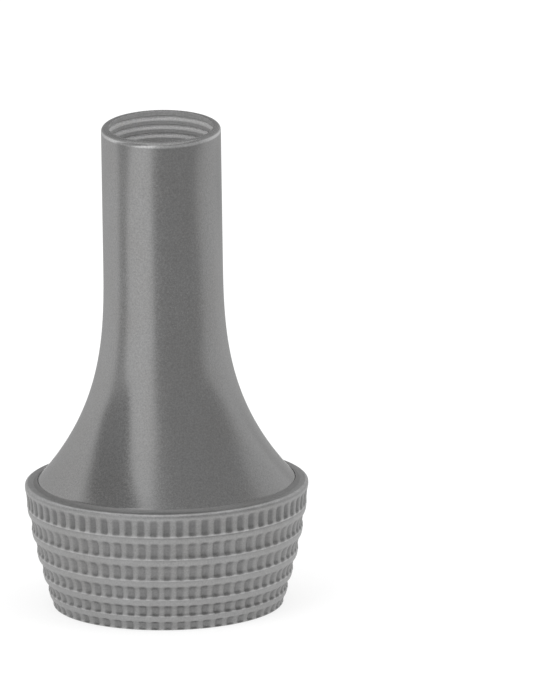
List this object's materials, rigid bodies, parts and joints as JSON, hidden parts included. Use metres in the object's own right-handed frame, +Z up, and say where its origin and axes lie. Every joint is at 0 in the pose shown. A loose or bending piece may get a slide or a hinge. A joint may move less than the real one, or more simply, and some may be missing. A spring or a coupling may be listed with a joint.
{
  "type": "ear speculum",
  "caption": "Metal ear speculum: an oval-tipped tube that flares into a round, straight-milled hollow collar, held at the ear canal to look through.",
  "frame": {"origin": "middle of the open eye end that the speculum stands on, on the axis of the tube", "axes": "+Z up the tube to the oval tip; X across the tip's short way, Y along its long way"},
  "size_m": [0.019, 0.019, 0.0327],
  "materials": {
    "satin_funnel": "satin plated metal, polished round the axis",
    "milled_collar": "satin plated metal, turned and straight milled",
    "solder": "dull silver solder"
  },
  "bodies": {
    "root": {"funnel": "satin_funnel", "knurled_collar": "milled_collar", "solder_seam": "solder"}
  },
  "joints": []
}
